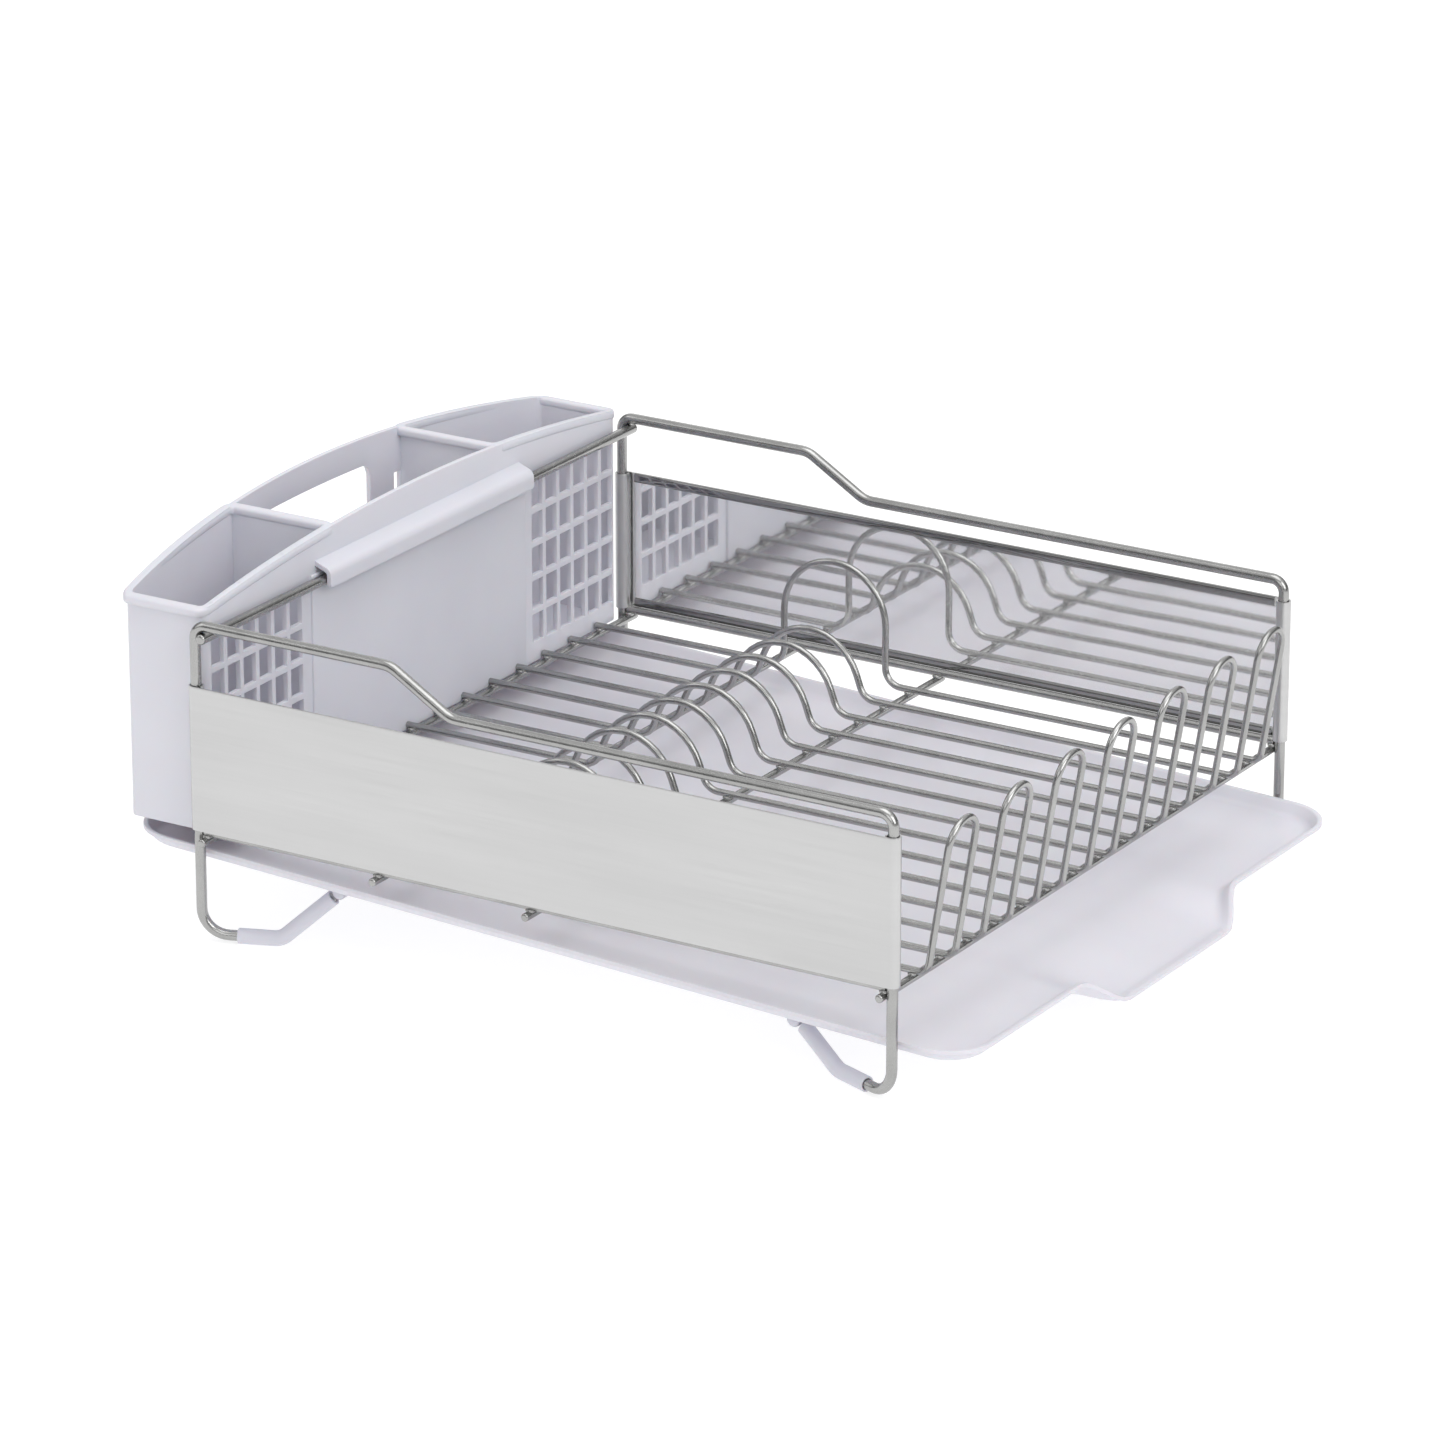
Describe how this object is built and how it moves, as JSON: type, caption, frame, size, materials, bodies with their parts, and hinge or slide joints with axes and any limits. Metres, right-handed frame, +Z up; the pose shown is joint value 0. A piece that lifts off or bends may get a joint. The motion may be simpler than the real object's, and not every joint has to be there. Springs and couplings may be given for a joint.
{
  "type": "dish drying rack",
  "caption": "Dish drying rack of bent steel wire with sheet side panels, humped plate wires with front loops, a hung cutlery caddy and a sloping drip tray with a spout.",
  "frame": {"origin": "middle of the footprint, on the counter the feet stand on", "axes": "+X from the caddy toward the spout, +Y from the near panel toward the far panel, +Z up"},
  "size_m": [0.4872, 0.384, 0.1775],
  "materials": {
    "wire": "satin",
    "plate_wire": "satin",
    "sheet": "brushed",
    "plastic": "satin",
    "sleeve": "satin"
  },
  "bodies": {
    "rack": {"bottom_rail_far": "wire", "bottom_rail_near": "wire", "cross_wire_front": "wire", "cross_wire_mid_front": "wire", "cross_wire_mid_rear": "wire", "cross_wire_rear": "wire", "foot_sleeve_front_far": "sleeve", "foot_sleeve_front_near": "sleeve", "foot_sleeve_rear_far": "sleeve", "foot_sleeve_rear_near": "sleeve", "hanger_bar": "wire", "plate_wire_1": "plate_wire", "plate_wire_2": "plate_wire", "plate_wire_3": "plate_wire", "plate_wire_4": "plate_wire", "plate_wire_5": "plate_wire", "plate_wire_6": "plate_wire", "plate_wire_7": "plate_wire", "side_frame_far": "wire", "side_frame_near": "wire", "side_panel_far": "sheet", "side_panel_near": "sheet", "tray_bar_front": "sleeve", "tray_bar_rear": "sleeve"},
    "drip_tray": {"tray_floor": "plastic", "tray_floor_rear": "plastic", "tray_side_near": "plastic", "tray_side_far": "plastic", "tray_rear": "plastic", "tray_corner_near": "plastic", "tray_corner_far": "plastic", "tray_front": "plastic"},
    "cutlery_caddy": {"cutlery_caddy": "plastic"}
  },
  "joints": [
    {"name": "tray_slide", "type": "slide", "parent": "rack", "child": "drip_tray", "axis": [0.9991, 0, -0.0427], "range_m": [0, 0.25]},
    {"name": "caddy_lift", "type": "slide", "parent": "rack", "child": "cutlery_caddy", "axis": [0, 0, 1], "range_m": [0, 0.14]}
  ]
}
